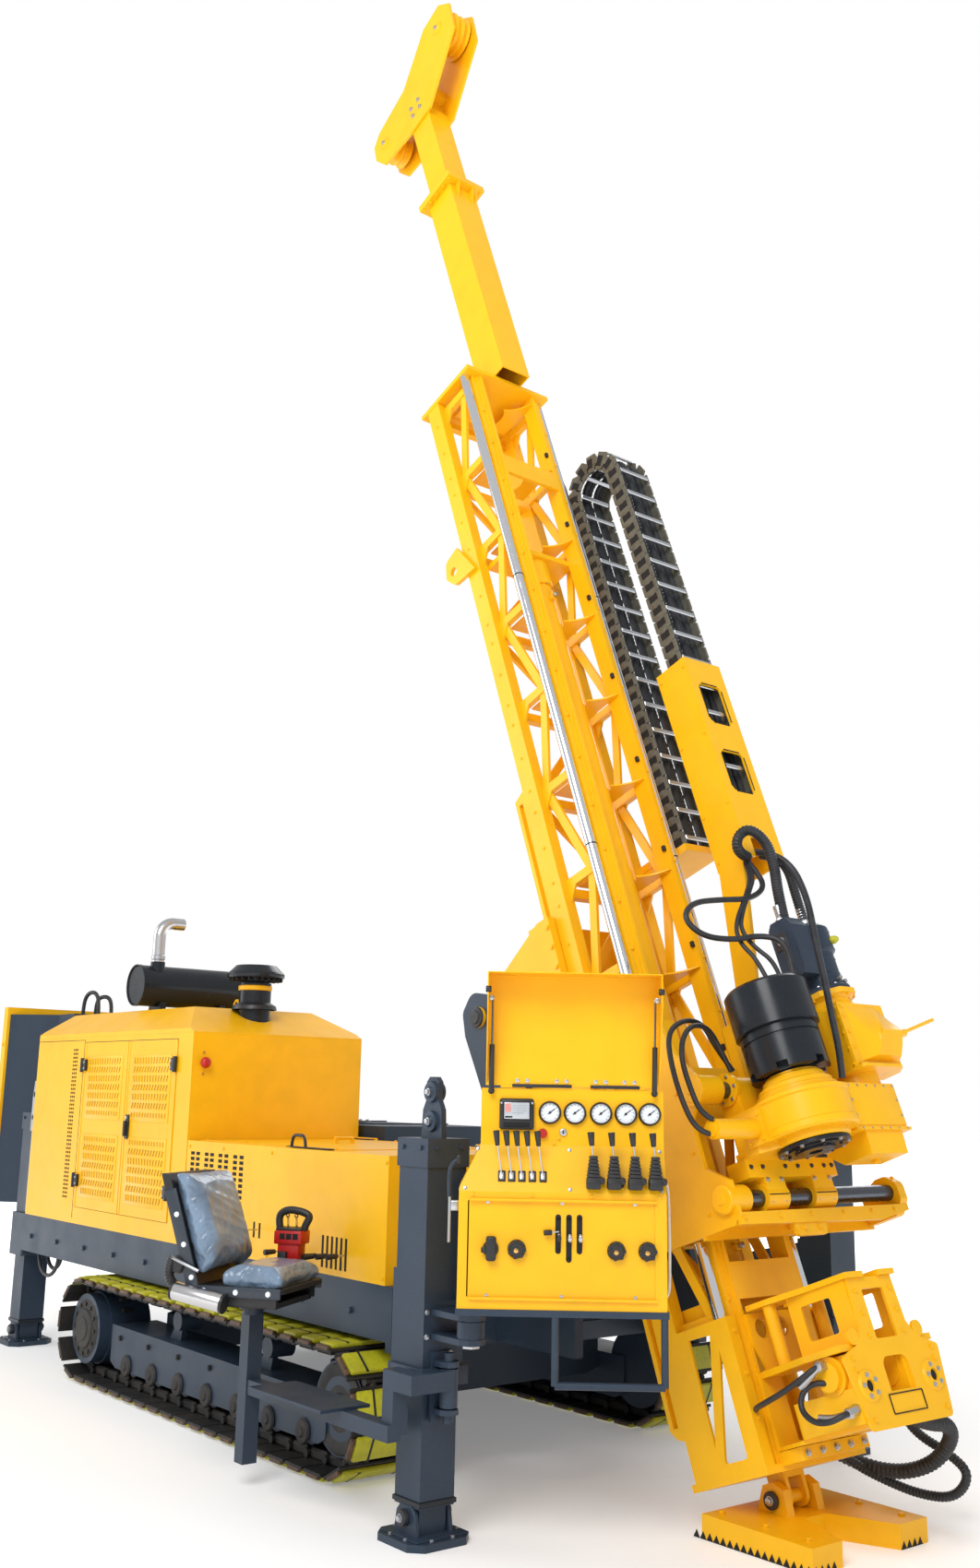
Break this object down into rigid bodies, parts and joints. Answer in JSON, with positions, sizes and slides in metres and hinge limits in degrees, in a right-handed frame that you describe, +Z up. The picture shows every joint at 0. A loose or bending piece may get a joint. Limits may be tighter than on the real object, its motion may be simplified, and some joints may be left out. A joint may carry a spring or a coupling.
{
  "type": "crawler core drilling rig",
  "caption": "Tracked core drilling rig with a leaning lattice mast, top-drive head on a feed carriage, engine hood, corner jacks, swing-out console and operator seat.",
  "frame": {"origin": "on the ground under the middle of the whole rig, at the centre of its bounding box", "axes": "+X towards the drilled hole, +Y to the left of the machine, +Z up"},
  "size_m": [6.8011, 3.1933, 8.6222],
  "materials": {
    "yellow_paint": "semi-gloss yellow enamel",
    "slate_paint": "satin slate grey enamel",
    "black_paint": "gloss black enamel",
    "track_rubber": "black rubber and forged links",
    "chrome_bar": "hard chrome",
    "stainless": "brushed stainless steel",
    "cast_block": "dark cast iron",
    "chain_plastic": "black energy chain with hoses",
    "seat_vinyl": "blue-grey seat cover",
    "seat_shell": "dark grey seat pan",
    "red_plastic": "red plastic"
  },
  "bodies": {
    "chassis": {"side_beams": "slate_paint", "deck_plate": "slate_paint", "cross_beams": "slate_paint", "track_carriers": "slate_paint", "mast_brackets": "slate_paint", "winch_frame": "slate_paint", "track_right": "track_rubber", "track_left": "track_rubber", "track_frames": "slate_paint", "jack_towers": "slate_paint", "engine_hood": "yellow_paint", "engine_block": "cast_block", "radiator_unit": "slate_paint", "rear_grille": "yellow_paint", "valve_box": "yellow_paint", "exhaust_muffler": "black_paint", "exhaust_pipe": "stainless", "air_cleaner": "black_paint", "hydraulic_tank": "slate_paint"},
    "jack_front_right": {"jack_leg_front_right": "slate_paint"},
    "jack_front_left": {"jack_leg_front_left": "slate_paint"},
    "jack_rear_right": {"jack_leg_rear_right": "slate_paint"},
    "jack_rear_left": {"jack_leg_rear_left": "slate_paint"},
    "door_rear": {"hood_door_rear": "yellow_paint"},
    "door_front": {"hood_door_front": "yellow_paint"},
    "box_lid": {"valve_box_lid": "yellow_paint"},
    "winch": {"winch_drum": "slate_paint"},
    "cradle": {"mast_cradle": "yellow_paint"},
    "mast": {"mast_chords": "yellow_paint", "mast_bracing": "yellow_paint", "guide_bars": "chrome_bar", "feed_cylinder": "yellow_paint", "mast_extension": "yellow_paint", "crown_head": "yellow_paint", "clamp_frame": "yellow_paint", "foot_clamp": "yellow_paint", "energy_chain": "chain_plastic"},
    "sheave_front": {"crown_sheave_front": "yellow_paint"},
    "sheave_rear": {"crown_sheave_rear": "yellow_paint"},
    "carriage": {"head_carriage": "yellow_paint", "cross_shafts": "chrome_bar", "chain_guide": "yellow_paint", "chain_covers": "yellow_paint"},
    "head": {"head_gearbox": "yellow_paint", "head_motor": "slate_paint"},
    "spindle": {"head_spindle": "black_paint"},
    "foot": {"mast_foot": "yellow_paint"},
    "tilt_barrels": {"tilt_cylinder_barrels": "yellow_paint"},
    "tilt_rods": {"tilt_cylinder_rods": "chrome_bar"},
    "console": {"console_base": "slate_paint", "console_cabinet": "yellow_paint"},
    "console_lid": {"console_lid": "yellow_paint"},
    "seat_arm": {"seat_arm": "slate_paint"},
    "seat": {"seat_frame": "seat_shell", "seat_cushion": "seat_vinyl", "seat_back_cushion": "seat_vinyl", "travel_control_box": "red_plastic"}
  },
  "joints": [
    {"name": "mast_tilt", "type": "hinge", "parent": "chassis", "child": "cradle", "pos_m": [1.28945, 0.2216, 2.02], "axis": [0, 1, 0], "range_deg": [-66, 20.8]},
    {"name": "mast_slide", "type": "slide", "parent": "cradle", "child": "mast", "axis": [-0.3551, 0, 0.9348], "range_m": [-0.1, 0.8]},
    {"name": "head_feed", "type": "slide", "parent": "mast", "child": "carriage", "axis": [-0.3551, 0, 0.9348], "range_m": [-0.2, 3.3], "deforming": ["energy_chain"]},
    {"name": "head_shift", "type": "slide", "parent": "carriage", "child": "head", "axis": [0, 1, 0], "range_m": [-0.03, 0.27]},
    {"name": "spindle_spin", "type": "hinge", "parent": "head", "child": "spindle", "pos_m": [2.90528, 0.2216, 1.65374], "axis": [-0.3551, 0, 0.9348], "continuous": true},
    {"name": "sheave_front_spin", "type": "hinge", "parent": "mast", "child": "sheave_front", "pos_m": [0.23821, 0.2216, 8.44956], "axis": [0, 1, 0], "continuous": true},
    {"name": "sheave_rear_spin", "type": "hinge", "parent": "mast", "child": "sheave_rear", "pos_m": [-0.32366, 0.2216, 7.91521], "axis": [0, 1, 0], "continuous": true},
    {"name": "mast_foot_tilt", "type": "hinge", "parent": "mast", "child": "foot", "pos_m": [2.80945, 0.2216, 0.135], "axis": [0, 1, 0], "range_deg": [-30, 20]},
    {"name": "tilt_barrel_hinge", "type": "hinge", "parent": "chassis", "child": "tilt_barrels", "pos_m": [1.55945, 0.2216, 0.72], "axis": [0, 1, 0], "range_deg": [-4, 4]},
    {"name": "tilt_rod_slide", "type": "slide", "parent": "tilt_barrels", "child": "tilt_rods", "axis": [0.0689, 0, 0.9976], "range_m": [-0.14, 0.44]},
    {"name": "winch_spin", "type": "hinge", "parent": "chassis", "child": "winch", "pos_m": [0.20945, 0.8366, 1.11], "axis": [0, 1, 0], "continuous": true},
    {"name": "jack_front_right_slide", "type": "slide", "parent": "chassis", "child": "jack_front_right", "axis": [0, 0, 1], "range_m": [-0.45, 0.14]},
    {"name": "jack_front_left_slide", "type": "slide", "parent": "chassis", "child": "jack_front_left", "axis": [0, 0, 1], "range_m": [-0.45, 0.14]},
    {"name": "jack_rear_right_slide", "type": "slide", "parent": "chassis", "child": "jack_rear_right", "axis": [0, 0, 1], "range_m": [-0.45, 0.14]},
    {"name": "jack_rear_left_slide", "type": "slide", "parent": "chassis", "child": "jack_rear_left", "axis": [0, 0, 1], "range_m": [-0.45, 0.14]},
    {"name": "door_rear_hinge", "type": "hinge", "parent": "chassis", "child": "door_rear", "pos_m": [-1.99355, -0.7944, 1.43], "axis": [0, 0, 1], "range_deg": [-110, 0]},
    {"name": "door_front_hinge", "type": "hinge", "parent": "chassis", "child": "door_front", "pos_m": [-0.71055, -0.7944, 1.43], "axis": [0, 0, 1], "range_deg": [0, 110]},
    {"name": "box_lid_hinge", "type": "hinge", "parent": "chassis", "child": "box_lid", "pos_m": [0.19945, 0.2996, 1.388], "axis": [1, 0, 0], "range_deg": [-60, 0]},
    {"name": "console_swing", "type": "hinge", "parent": "chassis", "child": "console", "pos_m": [2.32045, -1.0124, 0.8], "axis": [0, 0, 1], "range_deg": [-75, 0]},
    {"name": "console_lid_hinge", "type": "hinge", "parent": "console", "child": "console_lid", "pos_m": [2.63994, -0.77459, 1.686], "axis": [0.6225, 0.7826, 0], "range_deg": [0, 135]},
    {"name": "seat_arm_swing", "type": "hinge", "parent": "chassis", "child": "seat_arm", "pos_m": [2.19945, -1.0184, 0.56], "axis": [0, 0, 1], "range_deg": [0, 90]},
    {"name": "seat_swivel", "type": "hinge", "parent": "seat_arm", "child": "seat", "pos_m": [1.02945, -1.2084, 0.75], "axis": [0, 0, 1], "range_deg": [-40, 90]}
  ],
  "couplings": [
    {"joint": "tilt_barrel_hinge", "follows": "mast_tilt", "ratio": -0.01},
    {"joint": "tilt_rod_slide", "follows": "mast_tilt", "m_per_rad": -0.339}
  ]
}
